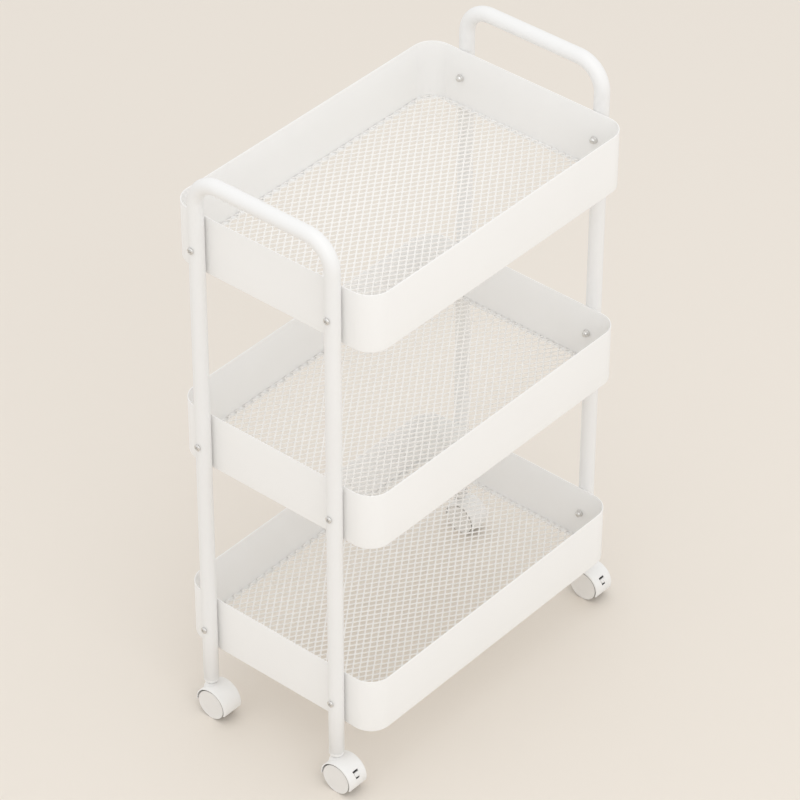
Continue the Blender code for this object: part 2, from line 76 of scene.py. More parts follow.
band_low, band_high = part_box("top_tray_band")
TRAY_HALF_LENGTH = band_high.x
TRAY_HALF_WIDTH = band_high.y
BAND_HEIGHT = band_high.z - band_low.z
RIMS = {tier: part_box(f"{tier}_tray_band")[1].z for tier in TIERS}
tube_low, tube_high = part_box("frame_right")
TUBE_RADIUS = (tube_high.x - tube_low.x) / 2
LEG_X = (tube_high.x + tube_low.x) / 2
LEG_Y = tube_high.y - TUBE_RADIUS
FRAME_TOP = tube_high.z
LEG_END = tube_low.z
head_low, head_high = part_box("screw_top_front_right")
SCREW_DROP = RIMS["top"] - (head_low.z + head_high.z) / 2
HEAD_TIP_X = head_high.x
nut_low, nut_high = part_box("nut_top_front_right")
NUT_SEAT_X = nut_high.x
wheel_low, wheel_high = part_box("castor_front_right_wheel_outer")
AXLE_Z = (wheel_low.z + wheel_high.z) / 2
TRAIL = -LEG_Y - (wheel_low.y + wheel_high.y) / 2
WHEEL_OUTER_FACE = wheel_high.x - LEG_X

# Sizes that the frame doesn't give, the same as in the CAD.
SHEET = 1.2 * MM
CORNER_RADIUS = 28 * MM
FLANGE_WIDTH = 5 * MM
BEND_RADIUS = 35 * MM
TUBE_WALL = 1.2 * MM
HOLE_RADIUS = 2.8 * MM
HOLE_ZONE = 7 * MM
WHEEL_RADIUS = 20 * MM
HOOD_RADIUS = 23.2 * MM
HOOD_BORE_RADIUS = 21.7 * MM
HOOD_HALF_WIDTH = 15.2 * MM
WEB_HALF_WIDTH = 2.2 * MM

# The expanded metal: its diamonds, and where a knuckle lies in each tray.
DIAMOND_LENGTH = 14.2 * MM
DIAMOND_WIDTH = 10.17 * MM
STRAND_WIDTH = 1.65 * MM
STRAND_THICKNESS = 1.2 * MM
STRAND_TILT = 0.3
STRAND_EDGE = 0.28 * MM
DIAMOND_CORNER = 0.9 * MM
KNUCKLE_HALF = 0.3 * MM
KNUCKLES = {
    "top": (3.0 * MM, -2.5 * MM),
    "middle": (-0.4 * MM, 3.9 * MM),
    "bottom": (0.4 * MM, 4.5 * MM),
}

# Boolean slivers shorter than this are merged away.
SLIVER = 0.03 * MM


# ---------------------------------------------------------------- mesh helpers


def new_object(name, work, angle=40):
    """A piece from a bmesh, shaded smooth with edges sharper than the angle kept sharp."""
    bmesh.ops.recalc_face_normals(work, faces=work.faces)
    mesh = bpy.data.meshes.new(name)
    work.to_mesh(mesh)
    work.free()
    return smoothed(linked(bpy.data.objects.new(name, mesh)), angle)


def linked(obj):
    bpy.context.scene.collection.objects.link(obj)
    return obj


def smoothed(obj, angle):
    """Smooth shading, broken wherever faces meet at more than the angle in degrees."""
    obj.data.shade_smooth()
    obj.data.set_sharp_from_angle(angle=math.radians(angle))
    return obj


def applied(obj):
    """An object with its modifiers applied to its mesh."""
    bpy.context.view_layer.update()
    graph = bpy.context.evaluated_depsgraph_get()
    old = obj.data
    obj.data = bpy.data.meshes.new_from_object(obj.evaluated_get(graph))
    obj.modifiers.clear()
    bpy.data.meshes.remove(old)
    return obj


def combined(obj, tool, operation="DIFFERENCE", solver="EXACT"):
    """obj cut by, joined to or limited to the tool, which is removed."""
    modifier = obj.modifiers.new("boolean", "BOOLEAN")
    modifier.operation = operation
    modifier.solver = solver
    modifier.object = tool
    applied(obj)
    bpy.data.objects.remove(tool, do_unlink=True)
    return obj


def cleaned(obj, angle=50):
    """Boolean slivers merged or closed, and edges sharp where faces meet at more than the angle."""
    work = bmesh.new()
    work.from_mesh(obj.data)
    bmesh.ops.remove_doubles(work, verts=work.verts, dist=SLIVER)
    bmesh.ops.dissolve_degenerate(work, edges=work.edges, dist=SLIVER)
    open_edges = [edge for edge in work.edges if edge.is_boundary]
    bmesh.ops.holes_fill(work, edges=open_edges, sides=8)
    work.to_mesh(obj.data)
    work.free()
    return smoothed(obj, angle)


def edges_rounded(obj, width, angle=50):
    """Small round edges wherever faces meet at more than the angle."""
    bevel = obj.modifiers.new("edges", "BEVEL")
    bevel.width = width
    bevel.segments = 2
    bevel.limit_method = "ANGLE"
    bevel.angle_limit = math.radians(angle)
    bevel.use_clamp_overlap = True
    return smoothed(applied(obj), angle)


def filleted(corners, steps=5, closed=False):
    """(x, y, radius) corners as (x, y) points, each corner turned into an arc of its radius."""
    points = []
    for number, (x, y, radius) in enumerate(corners):
        if not radius or (not closed and number in (0, len(corners) - 1)):
            points.append((x, y))
            continue
        corner = Vector((x, y))
        before = (Vector(corners[number - 1][:2]) - corner).normalized()
        after = (Vector(corners[(number + 1) % len(corners)][:2]) - corner).normalized()
        half = before.angle(after) / 2
        centre = corner + (before + after).normalized() * radius / math.sin(half)
        first = corner + before * radius / math.tan(half) - centre
        last = corner + after * radius / math.tan(half) - centre
        start = math.atan2(first.y, first.x)
        turn = math.atan2(last.y, last.x) - start
        turn = (turn + math.pi) % (2 * math.pi) - math.pi
        for step in range(steps + 1):
            angle = start + turn * step / steps
            points.append((centre.x + radius * math.cos(angle), centre.y + radius * math.sin(angle)))
    return points


def turned(name, profile, steps, axis="X", angle=40):
    """A closed skin: (along, radius) points turned about the X or Z axis through the origin."""
    work = bmesh.new()
    if axis == "X":
        verts = [work.verts.new((along, 0, radius)) for along, radius in profile]
        direction = (1, 0, 0)
    else:
        verts = [work.verts.new((radius, 0, along)) for along, radius in profile]
        direction = (0, 0, 1)
    edges = [work.edges.new(pair) for pair in zip(verts, verts[1:])]
    bmesh.ops.spin(
        work,
        geom=verts + edges,
        cent=(0, 0, 0),
        axis=direction,
        angle=2 * math.pi,
        steps=steps,
        use_merge=True,
    )
    bmesh.ops.remove_doubles(work, verts=work.verts, dist=1e-6)
    return new_object(name, work, angle)


def add_skin(work, rings, closed=False):
    """Faces through rings of equally many points; a closed skin joins its last ring to its first."""
    grid = [[work.verts.new(point) for point in ring] for ring in rings]
    if closed:
        grid.append(grid[0])
    for one, other in zip(grid, grid[1:]):
        for number in range(len(one)):
            after = (number + 1) % len(one)
            work.faces.new((one[number], one[after], other[after], other[number]))


def lofted(name, rings):
    """A closed skin through rings of equally many points."""
    work = bmesh.new()
    add_skin(work, rings, closed=True)
    return new_object(name, work)


def box(name, size, centre, turn=0.0, taper=0.0):
    """A box turned about X through its centre; taper widens its top and narrows its foot."""
    work = bmesh.new()
    bmesh.ops.create_cube(work, size=1)
    bmesh.ops.scale(work, vec=size, verts=work.verts)
    for vert in work.verts:
        vert.co.x += math.copysign(taper, vert.co.x * vert.co.z)
    work.transform(Matrix.Translation(centre) @ Matrix.Rotation(turn, 4, "X"))
    return new_object(name, work)


def rod(axis, low, high, radius, centre=(0, 0), sides=24):
    """A cylinder along X or Z from low to high; centre is its place in the other two axes."""
    work = bmesh.new()
    bmesh.ops.create_cone(
        work, cap_ends=True, segments=sides, radius1=radius, radius2=radius, depth=high - low
    )
    middle = (low + high) / 2
    if axis == "X":
        work.transform(Matrix.Translation((middle, *centre)) @ Matrix.Rotation(math.pi / 2, 4, "Y"))
    else:
        work.transform(Matrix.Translation((*centre, middle)))
    return new_object("rod", work)


def placed(name, mesh, location, turn=0.0):
    """A copy of a mesh as its own piece; turn is about Z."""
    copy = mesh.copy()
    copy.transform(Matrix.Translation(location) @ Matrix.Rotation(turn, 4, "Z"))
    return linked(bpy.data.objects.new(name, copy))


def finished(obj, node, body, material):
    """obj stands for a CAD node: it takes the material and rides on the body."""
    obj.data.materials.clear()
    obj.data.materials.append(material)
    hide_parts(node)
    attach(obj, body)


def finish_cad_node(node, material):
    """A CAD node that keeps its own shape takes the material."""
    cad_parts[node].data.materials.clear()
    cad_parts[node].data.materials.append(material)


# ---------------------------------------------------------------- materials


RAMP_RANGE = (0.3, 0.7)


def material_nodes(name, color, roughness, metallic=0.0):
    """A new material, its node tree and its shader."""
    made = bpy.data.materials.new(name)
    made.use_nodes = True
    tree = made.node_tree
    shader = tree.nodes["Principled BSDF"]
    shader.inputs["Base Color"].default_value = (*color, 1)
    shader.inputs["Roughness"].default_value = roughness
    shader.inputs["Metallic"].default_value = metallic
    return made, tree, shader


def noise(tree, scale, detail, stretch=(1, 1, 1)):
    """Noise in the object's own coordinates; scale is in features to the metre."""
    where = tree.nodes.new("ShaderNodeTexCoord")
    mapping = tree.nodes.new("ShaderNodeMapping")
    mapping.inputs["Scale"].default_value = stretch
    tree.links.new(where.outputs["Object"], mapping.inputs["Vector"])
    texture = tree.nodes.new("ShaderNodeTexNoise")
    texture.inputs["Scale"].default_value = scale
    texture.inputs["Detail"].default_value = detail
    tree.links.new(mapping.outputs["Vector"], texture.inputs["Vector"])
    return texture.outputs["Fac"]


def ramp(tree, source, low, high, socket):
    """Feeds a socket from low to high as the source goes through its middle range."""
    spread = tree.nodes.new("ShaderNodeValToRGB")
    for stop, position, color in zip(spread.color_ramp.elements, RAMP_RANGE, (low, high)):
        stop.position = position
        stop.color = (*color, 1)
    tree.links.new(source, spread.inputs["Fac"])
    tree.links.new(spread.outputs["Color"], socket)


def grey(value):
    return (value, value, value)


def shade(color, factor):
    return tuple(factor * channel for channel in color)


def add_bump(tree, shader, layers):
    """Bump from (noise output, strength, depth in metres) layers, one on top of the other."""
    under = None
    for source, strength, depth in layers:
        bump = tree.nodes.new("ShaderNodeBump")
        bump.inputs["Strength"].default_value = strength
        bump.inputs["Distance"].default_value = depth
        tree.links.new(source, bump.inputs["Height"])
        if under:
            tree.links.new(under.outputs["Normal"], bump.inputs["Normal"])
        under = bump
    tree.links.new(under.outputs["Normal"], shader.inputs["Normal"])


def powder_coat(name, color):
    """Satin powder coat: faint mottle, fine orange peel and a slight waviness of the sheet."""
    made, tree, shader = material_nodes(name, color, 0.36)
    mottle = noise(tree, 9, detail=3)
    ramp(tree, mottle, shade(color, 0.985), color, shader.inputs["Base Color"])
    peel = noise(tree, 900, detail=1)
    grain = noise(tree, 3200, detail=1)
    wave = noise(tree, 11, detail=1)
    ramp(tree, peel, grey(0.33), grey(0.40), shader.inputs["Roughness"])
    layers = ((wave, 0.5, 0.5 * MM), (peel, 0.35, 0.02 * MM), (grain, 0.25, 0.006 * MM))
    add_bump(tree, shader, layers)
    return made


def moulded_plastic(name, color, roughness):
    """Moulded plastic with a fine spark-eroded grain and a faint flow mottle."""
    made, tree, shader = material_nodes(name, color, roughness)
    mottle = noise(tree, 60, detail=3)
    ramp(tree, mottle, shade(color, 0.97), color, shader.inputs["Base Color"])
    grain = noise(tree, 2600, detail=2)
    smooth, rough = grey(roughness - 0.04), grey(roughness + 0.05)
    ramp(tree, grain, smooth, rough, shader.inputs["Roughness"])
    add_bump(tree, shader, ((grain, 0.3, 0.012 * MM),))
    return made


def zinc_steel(name, color):
    """Bright zinc-plated steel: fine cloudy plating with turning marks round the head."""
    made, tree, shader = material_nodes(name, color, 0.24, 1.0)
    clouds = noise(tree, 420, detail=3)
    ramp(tree, clouds, shade(color, 0.86), color, shader.inputs["Base Color"])
    marks = noise(tree, 1500, detail=3, stretch=(4, 1, 1))
    ramp(tree, marks, grey(0.18), grey(0.34), shader.inputs["Roughness"])
    add_bump(tree, shader, ((marks, 0.2, 0.01 * MM),))
    return made


painted = powder_coat("powder_coat", (0.912, 0.905, 0.89))
# Painted shade: the same powder coat made darker on the tubes, which catch more light than the flat
# bands.
tube_coat_painted_shade = powder_coat("powder_coat_tube_painted_shade", (0.862, 0.857, 0.846))
# Painted shade: the same powder coat made warmer and a little darker on the expanded metal, for the warm
# shade among its holes.
mesh_coat_painted_shade = powder_coat("powder_coat_mesh_painted_shade", (0.905, 0.885, 0.855))
steel = zinc_steel("zinc_steel", (0.78, 0.77, 0.75))
plastic = moulded_plastic("castor_plastic", (0.88, 0.872, 0.855), 0.36)
tread_plastic = moulded_plastic("tread_plastic", (0.40, 0.39, 0.37), 0.55)
# Near black painted shade, for the inside of the brake window and the pedal parts down in it.
window_painted_shade = moulded_plastic("window_painted_shade", (0.09, 0.09, 0.085), 0.5)
wheel_plastic = moulded_plastic("wheel_plastic", (0.84, 0.822, 0.795), 0.48)


# ---------------------------------------------------------------- frames


TUBE_SIDES = 56
BEND_STEPS = 20
STATION_GAP = 1.4 * MM
TUBE_LIP = 0.35 * MM


def frame_stations():
    """(centre y, centre z, outward y, outward z) along the bent tube, closer at each screw hole."""
    leg = [LEG_END]
    for height in sorted(RIMS[tier] - SCREW_DROP for tier in TIERS):
        leg += [height + step * STATION_GAP for step in range(-5, 6)]
    bend_y = LEG_Y - BEND_RADIUS
    bend_z = FRAME_TOP - TUBE_RADIUS - BEND_RADIUS
    rear = [(LEG_Y, z, 1.0, 0.0) for z in leg]
    for step in range(BEND_STEPS + 1):
        angle = math.pi / 2 * step / BEND_STEPS
        away_y, away_z = math.cos(angle), math.sin(angle)
        centre_y, centre_z = bend_y + BEND_RADIUS * away_y, bend_z + BEND_RADIUS * away_z
        rear.append((centre_y, centre_z, away_y, away_z))
    front = [(-y, z, -away_y, away_z) for y, z, away_y, away_z in rear]
    return front + rear[::-1]


def tube_ring(station, radius, raised=0.0):
    """Points round the tube at a station and radius."""
    y, z, away_y, away_z = station
    points = []
    for number in range(TUBE_SIDES):
        angle = 2 * math.pi * number / TUBE_SIDES
        out = radius * math.cos(angle)
        points.append((radius * math.sin(angle), y + out * away_y, z + out * away_z + raised))
    return points


def frame_mesh():
    """The bent tube about its own centre line at X = 0, open inside, with its screw holes."""
    first, *along, last = frame_stations()
    outside = (TUBE_RADIUS, -TUBE_LIP, first, along, last)
    inside = (TUBE_RADIUS - TUBE_WALL, TUBE_LIP, last, along[::-1], first)
    rings = []
    for radius, flare, start, between, end in (outside, inside):
        rings += [tube_ring(start, radius + flare), tube_ring(start, radius, TUBE_LIP)]
        rings += [tube_ring(station, radius) for station in between]
        rings += [tube_ring(end, radius, TUBE_LIP), tube_ring(end, radius + flare)]
    tube = lofted("frame", rings)
    for tier in TIERS:
        for side_y in (-1, 1):
            centre = (side_y * LEG_Y, RIMS[tier] - SCREW_DROP)
            combined(tube, rod("X", -2 * TUBE_RADIUS, 2 * TUBE_RADIUS, HOLE_RADIUS, centre))
    return smoothed(tube, 50)


def add_frames():
    tube = frame_mesh()
    for side, side_x in SIDES.items():
        turn = 0 if side_x > 0 else math.pi
        piece = placed(f"end_frame_{side}", tube.data, (side_x * LEG_X, 0, 0), turn)
        finished(piece, f"frame_{side}", "cart", tube_coat_painted_shade)
    bpy.data.objects.remove(tube, do_unlink=True)


# ---------------------------------------------------------------- trays


CORNER_STEPS = 18
RIM_RADIUS = 0.49 * SHEET
FLOOR_MARGIN = 0.5 * MM
FLOOR_LIFT = 0.35 * MM


def outline(inset, drilled=True):
    """Points round the tray at an inset from its outer face, closer where short walls are drilled."""
    points = []
    radius = CORNER_RADIUS - inset
    for quarter, (side_x, side_y) in enumerate(((1, 1), (-1, 1), (-1, -1), (1, -1))):
        centre_x = side_x * (TRAY_HALF_LENGTH - CORNER_RADIUS)
        centre_y = side_y * (TRAY_HALF_WIDTH - CORNER_RADIUS)
        for step in range(CORNER_STEPS + 1):
            angle = math.pi / 2 * (quarter + step / CORNER_STEPS)
            points.append((centre_x + radius * math.cos(angle), centre_y + radius * math.sin(angle)))
        if drilled and side_x * side_y < 0:
            wall_x = side_x * (TRAY_HALF_LENGTH - inset)
            near, far = LEG_Y - HOLE_ZONE, LEG_Y + HOLE_ZONE
            points += [(wall_x, side_y * y) for y in (far, near, 0, -near, -far)]
    return points


def band_mesh():
    """The band with its rim at Z = 0: a rounded rim, a flat wall and an inward floor flange."""
    foot = -BAND_HEIGHT
    flange_end = SHEET + FLANGE_WIDTH
    corners = (
        (0, 0, RIM_RADIUS),
        (0, -SCREW_DROP + HOLE_ZONE, 0),
        (0, -SCREW_DROP - HOLE_ZONE, 0),
        (0, foot, 2.2 * MM),
        (flange_end, foot, RIM_RADIUS),
        (flange_end, foot + SHEET, RIM_RADIUS),
        (SHEET, foot + SHEET, 1.0 * MM),
        (SHEET, -SCREW_DROP - HOLE_ZONE, 0),
        (SHEET, -SCREW_DROP + HOLE_ZONE, 0),
        (SHEET, 0, RIM_RADIUS),
    )
    lines = []
    for inset, height in filleted(corners, closed=True):
        lines.append([(x, y, height) for x, y in outline(inset)])
    band = lofted("band", list(zip(*lines)))
    for side_y in (-1, 1):
        for side_x in (-1, 1):
            wall = side_x * TRAY_HALF_LENGTH
            hole = rod("X", wall - 9 * MM, wall + 9 * MM, HOLE_RADIUS, (side_y * LEG_Y, -SCREW_DROP))
            combined(band, hole)
    return smoothed(band, 50)


def cell_rings():
    """Matching points round one hole of the sheet: mid strand, at its edge and on its wall."""
    half_length, half_width = DIAMOND_LENGTH / 2, DIAMOND_WIDTH / 2
    to_side = half_length * half_width / math.hypot(half_length, half_width)
    corners = ((half_length, 0), (0, half_width), (-half_length, 0), (0, -half_width))
    rings = []
    for strand in (STRAND_WIDTH - 2 * STRAND_EDGE, STRAND_WIDTH):
        scale = 1 - strand / 2 / to_side
        rounded = [(scale * x, scale * y, DIAMOND_CORNER) for x, y in corners]
        rings.append(filleted(rounded, steps=2, closed=True))
    middle = []
    for number, corner in enumerate(corners):
        if number % 2:
            middle += 3 * [Vector((0, corner[1] - math.copysign(KNUCKLE_HALF, corner[1])))]
        else:
            half = math.copysign(KNUCKLE_HALF, corner[0])
            middle += [Vector((corner[0], step * half)) for step in (-1, 0, 1)]
    return middle, *rings


def expanded_metal_mesh(name, knuckle):
    """The floor sheet before it is trimmed, its under side at Z = 0: one hole's ring, repeated."""
    middle, edge, wall = cell_rings()
    top = STRAND_THICKNESS
    rows = (
        (middle, top, 0.0),
        (edge, top, STRAND_TILT),
        (wall, top - STRAND_EDGE, STRAND_TILT),
        (wall, 0.0, STRAND_TILT),
        (middle, 0.0, 0.0),
    )
    cell = []
    for points, height, tilt in rows:
        tilted = [height + tilt * (point[1] - centre[1]) for point, centre in zip(points, middle)]
        cell.append([Vector((*point, z)) for point, z in zip(points, tilted)])
    work = bmesh.new()
    columns = math.ceil(TRAY_HALF_LENGTH / DIAMOND_LENGTH) + 1
    lines = math.ceil(TRAY_HALF_WIDTH / DIAMOND_WIDTH) + 1
    for column in range(-columns, columns + 1):
        for line in range(-lines, lines + 1):
            for half in (0, 0.5):
                x = knuckle[0] + (column + 0.5 + half) * DIAMOND_LENGTH
                y = knuckle[1] + (line + half) * DIAMOND_WIDTH
                add_skin(work, [[Vector((x, y, 0)) + point for point in ring] for ring in cell])
    bmesh.ops.remove_doubles(work, verts=work.verts, dist=0.02 * MM)
    bmesh.ops.bridge_loops(work, edges=[edge for edge in work.edges if edge.is_boundary])
    return new_object(name, work, 30)


def floor_outline_tool():
    """A prism of the floor's outline, taller than the sheet."""
    work = bmesh.new()
    points = outline(SHEET + FLOOR_MARGIN, drilled=False)
    ring = [work.verts.new((*point, -5 * MM)) for point in points]
    face = work.faces.new(ring)
    raised = bmesh.ops.extrude_face_region(work, geom=[face])["geom"]
    moved = [item for item in raised if isinstance(item, bmesh.types.BMVert)]
    bmesh.ops.translate(work, verts=moved, vec=(0, 0, 10 * MM))
    return new_object("outline_tool", work)


def add_trays():
    band = band_mesh()
    for tier in TIERS:
        piece = placed(f"tray_band_{tier}", band.data, (0, 0, RIMS[tier]))
        finished(piece, f"{tier}_tray_band", "cart", painted)
        sheet = expanded_metal_mesh(f"expanded_metal_{tier}", KNUCKLES[tier])
        combined(sheet, floor_outline_tool(), "INTERSECT", "MANIFOLD")
        floor_height = RIMS[tier] - BAND_HEIGHT + SHEET + FLOOR_LIFT
        sheet.data.transform(Matrix.Translation((0, 0, floor_height)))
        smoothed(sheet, 30)
        finished(sheet, f"{tier}_tray_mesh", "cart", mesh_coat_painted_shade)
    bpy.data.objects.remove(band, do_unlink=True)


# ---------------------------------------------------------------- tray fixings

HEAD_RADIUS = (head_high.z - head_low.z) / 2
HEAD_HEIGHT = 2.6 * MM
SCREW_LENGTH = head_high.x - head_low.x
SHANK_RADIUS = 2.4 * MM
THREAD_PITCH = 0.8 * MM
THREAD_DEPTH = 0.4 * MM
# The cross recess tapers: half its reach and half its thickness, at its mouth and at its floor.
RECESS_DEPTH = 1.9 * MM
RECESS_MOUTH = (4.1 * MM, 0.8 * MM)
RECESS_FLOOR = (0.9 * MM, 0.42 * MM)
NUT_RADIUS = (nut_high.z - nut_low.z) / 2
NUT_HEIGHT = nut_high.x - nut_low.x
NUT_BORE_RADIUS = 2.75 * MM
NUT_END_WALL = 1.3 * MM


def recess_arm(across):
    """A tapered bar that cuts half of the cross recess, standing in Z or lying in Y."""
    work = bmesh.new()
    bmesh.ops.create_cube(work, size=1)
    for vert in work.verts:
        at_mouth = vert.co.x > 0
        reach, thick = RECESS_MOUTH if at_mouth else RECESS_FLOOR
        y = math.copysign(reach, vert.co.y)
        z = math.copysign(thick, vert.co.z)
        deep = RECESS_DEPTH if at_mouth else -RECESS_DEPTH
        vert.co = Vector((deep, z, y) if across else (deep, y, z))
    return new_object("recess", work)


def screw_mesh():
    """Pan-head screw along X, its head's tip at X = 0 and its shank towards -X."""
    corners = (
        (0, 0, 0),
        (0, 0.5 * HEAD_RADIUS, 1.5 * MM),
        (-0.34 * HEAD_HEIGHT, 0.93 * HEAD_RADIUS, 0.8 * MM),
        (-0.62 * HEAD_HEIGHT, HEAD_RADIUS, 0.5 * MM),
        (-HEAD_HEIGHT, HEAD_RADIUS, 0.2 * MM),
        (-HEAD_HEIGHT, SHANK_RADIUS, 0),
    )
    profile = filleted(corners, steps=4)
    root = SHANK_RADIUS - THREAD_DEPTH
    for turn in range(int((SCREW_LENGTH - HEAD_HEIGHT - 2 * MM) / THREAD_PITCH)):
        along = -HEAD_HEIGHT - 0.8 * MM - turn * THREAD_PITCH
        profile += [(along, SHANK_RADIUS), (along - 0.5 * THREAD_PITCH, root)]
    point = SHANK_RADIUS - 2 * THREAD_DEPTH
    profile += [(-SCREW_LENGTH + 0.5 * MM, root), (-SCREW_LENGTH, point), (-SCREW_LENGTH, 0)]
    screw = turned("screw", profile, 32)
    for across in (False, True):
        combined(screw, recess_arm(across))
    return smoothed(screw, 40)


def nut_mesh():
    """Domed cap nut along X: its seat at X = 0, a washer face and a round dome towards -X."""
    corners = (
        (-NUT_HEIGHT + NUT_END_WALL, 0, 0),
        (-NUT_HEIGHT + NUT_END_WALL, NUT_BORE_RADIUS, 0.3 * MM),
        (0, NUT_BORE_RADIUS, 0.2 * MM),
        (0, NUT_RADIUS, 0.3 * MM),
        (-1.1 * MM, NUT_RADIUS, 0.4 * MM),
        (-1.5 * MM, 0.86 * NUT_RADIUS, 0.3 * MM),
        (-0.66 * NUT_HEIGHT, 0.82 * NUT_RADIUS, 2.0 * MM),
        (-NUT_HEIGHT, 0.5 * NUT_RADIUS, 2.2 * MM),
        (-NUT_HEIGHT, 0, 0),
    )
    return turned("nut", filleted(corners), 40, angle=45)


def add_fixings():
    screw = screw_mesh()
    nut = nut_mesh()
    for tier in TIERS:
        height = RIMS[tier] - SCREW_DROP
        for corner, (side_x, side_y) in CORNERS.items():
            turn = 0 if side_x > 0 else math.pi
            for kind, node, made, reach in (
                ("machine_screw", "screw", screw, HEAD_TIP_X),
                ("cap_nut", "nut", nut, NUT_SEAT_X),
            ):
                place = (side_x * reach, side_y * LEG_Y, height)
                piece = placed(f"{kind}_{tier}_{corner}", made.data, place, turn)
                finished(piece, f"{node}_{tier}_{corner}", "cart", steel)
    for made in (screw, nut):
        bpy.data.objects.remove(made, do_unlink=True)


# ---------------------------------------------------------------- castors
# Each is made about its swivel axis, with the floor at Z = 0 and its axle towards the front.


def about_axle(radius, angle):
    """(Y, Z) at a radius and angle about the axle, from the horizontal front side upwards."""
    return -TRAIL - radius * math.cos(angle), AXLE_Z + radius * math.sin(angle)


def on_axle(obj):
    obj.data.transform(Matrix.Translation((0, -TRAIL, AXLE_Z)))
    return obj


# The hood and what turns in it.
BARREL_STEPS = 96
COLLAR_FOOT = 36 * MM
COLLAR_TOP = 42.2 * MM
COLLAR_LIP = 43.5 * MM
LIP_BORE_RADIUS = 5.7 * MM
JOURNAL_BORE_RADIUS = 2.86 * MM
AXLE_BORE_RADIUS = 2.06 * MM
PIN_BORE_RADIUS = 1.26 * MM
BOSS_RADIUS = 4 * MM
BOSS_FOOT = 23 * MM
WEB_CUT = 5 * MM
SKIRT_TILT = math.radians(6.6)
SKIRT_DROP = 4 * MM
SKIRT_TOOL = 30 * MM

# The brake's window, and the pedal in it. Sizes are in X, along the radius and across it.
WINDOW_ANGLE = math.radians(28)
WINDOW_RADIUS = 20 * MM
WINDOW_SIZE = (7.4 * MM, 14 * MM, 10.8 * MM)
WINDOW_TAPER = 0.9 * MM
TAB_RADIUS = 23 * MM
TAB_SIZE = (6.6 * MM, 2 * MM, 5.4 * MM)
TAB_TAPER = 0.4 * MM
RIB_SIZE = (4.8 * MM, 1.0 * MM, 0.9 * MM)
RIB_GAP = 1.7 * MM
ARM_INNER_FACE = 2.5 * MM
ARM_MIDDLE = 2.9 * MM
ARM_OUTER_FACE = 3.3 * MM
ARM_THICKNESS = 0.8 * MM
ARM_HEIGHT = 3.2 * MM
ARM_EYE_RADIUS = 2.5 * MM
PIVOT_ANGLE = math.radians(60)
PIVOT_RADIUS = 16 * MM
PEDAL_EDGE = 0.18 * MM


def hood_mesh(braked):
    """The moulded hood: a barrel over both wheels, a web between them, a boss and a collar."""
    barrel_corners = (
        (-HOOD_HALF_WIDTH, 0, 0),
        (-HOOD_HALF_WIDTH, HOOD_RADIUS, 0.9 * MM),
        (HOOD_HALF_WIDTH, HOOD_RADIUS, 0.9 * MM),
        (HOOD_HALF_WIDTH, 0, 0),
    )
    hood = on_axle(turned("hood", filleted(barrel_corners, steps=4), BARREL_STEPS))
    collar_corners = (
        (COLLAR_FOOT, 0, 0),
        (COLLAR_FOOT, 9.6 * MM, 0),
        (40.2 * MM, 8.0 * MM, 2.0 * MM),
        (COLLAR_LIP, 7.1 * MM, 0.5 * MM),
        (COLLAR_LIP, 0, 0),
    )
    combined(hood, turned("collar", filleted(collar_corners, steps=4), 48, "Z"), "UNION")
    outside = HOOD_HALF_WIDTH + 5 * MM
    for side_x in (-1, 1):
        pocket_corners = (
            (side_x * WEB_HALF_WIDTH, 0, 0),
            (side_x * WEB_HALF_WIDTH, HOOD_BORE_RADIUS, 0.8 * MM),
            (side_x * outside, HOOD_BORE_RADIUS, 0),
            (side_x * outside, 0, 0),
        )
        pocket = turned("pocket", filleted(pocket_corners, steps=3), BARREL_STEPS)
        combined(hood, on_axle(pocket))
    boss_top = COLLAR_TOP - 4 * MM
    combined(hood, rod("Z", BOSS_FOOT, boss_top, BOSS_RADIUS, sides=32), "UNION")
    combined(hood, rod("Z", COLLAR_TOP, COLLAR_LIP + 1 * MM, LIP_BORE_RADIUS, sides=48))
    combined(hood, rod("Z", 18 * MM, COLLAR_TOP + 5 * MM, JOURNAL_BORE_RADIUS, sides=32))
    combined(hood, rod("Z", 0, BOSS_FOOT, BOSS_RADIUS, sides=32))
    combined(hood, rod("X", -WEB_CUT, WEB_CUT, AXLE_BORE_RADIUS, (-TRAIL, AXLE_Z)))
    skirt_y = -TRAIL + SKIRT_TOOL * math.sin(SKIRT_TILT)
    skirt_z = AXLE_Z - SKIRT_DROP - SKIRT_TOOL * math.cos(SKIRT_TILT)
    skirt_size = (4 * SKIRT_TOOL, 4 * SKIRT_TOOL, 2 * SKIRT_TOOL)
    combined(hood, box("skirt", skirt_size, (0, skirt_y, skirt_z), SKIRT_TILT))
    if braked:
        centre = (0, *about_axle(WINDOW_RADIUS, WINDOW_ANGLE))
        combined(hood, box("window", WINDOW_SIZE, centre, -WINDOW_ANGLE, WINDOW_TAPER))
        pivot = about_axle(PIVOT_RADIUS, PIVOT_ANGLE)
        combined(hood, rod("X", -WEB_CUT, WEB_CUT, PIN_BORE_RADIUS, pivot))
    return cleaned(hood)


